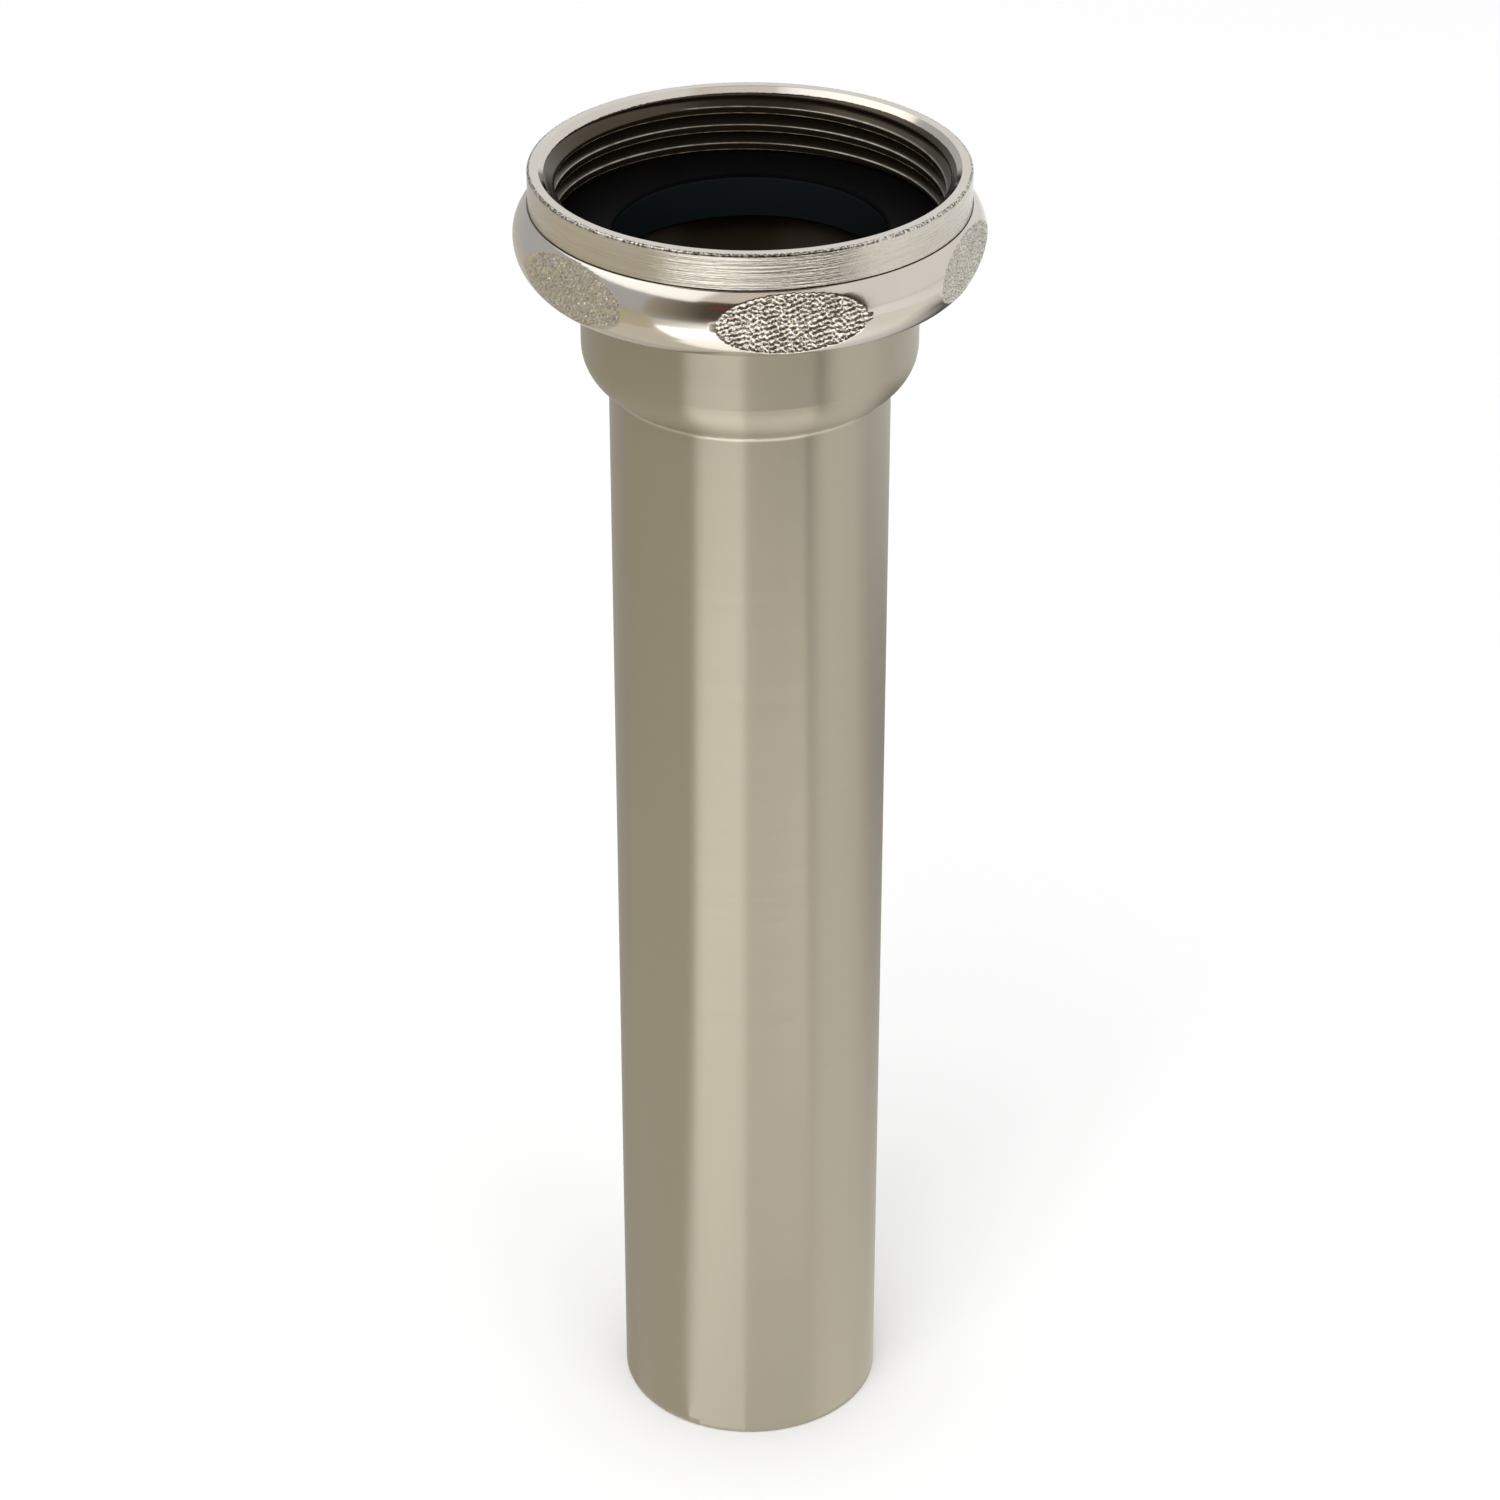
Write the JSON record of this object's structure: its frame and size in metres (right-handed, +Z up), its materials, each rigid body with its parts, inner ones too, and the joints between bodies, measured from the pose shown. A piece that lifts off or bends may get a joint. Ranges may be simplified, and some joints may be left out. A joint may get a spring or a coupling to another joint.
{
  "type": "basin waste tail pipe",
  "caption": "Straight metal waste tail pipe for a wash basin, with a belled and flanged upper end, a loose union nut and a rubber washer.",
  "frame": {"origin": "centre of the square-cut lower end of the pipe, on the axis", "axes": "+Z runs up the pipe's axis, from the cut end to the union nut; X and Y are free, because only the nut's flats mark a direction"},
  "size_m": [0.0524, 0.052, 0.1646],
  "materials": {
    "brushed_nickel": "satin",
    "polished_nickel": "polished",
    "black_rubber": "matte"
  },
  "bodies": {
    "pipe": {"tail_pipe": "brushed_nickel", "washer": "black_rubber"},
    "nut": {"union_nut": "polished_nickel"}
  },
  "joints": [
    {"name": "nut_swivel", "type": "hinge", "parent": "pipe", "child": "nut", "pos_m": [0, 0, 0.1545], "axis": [0, 0, 1], "continuous": true}
  ]
}
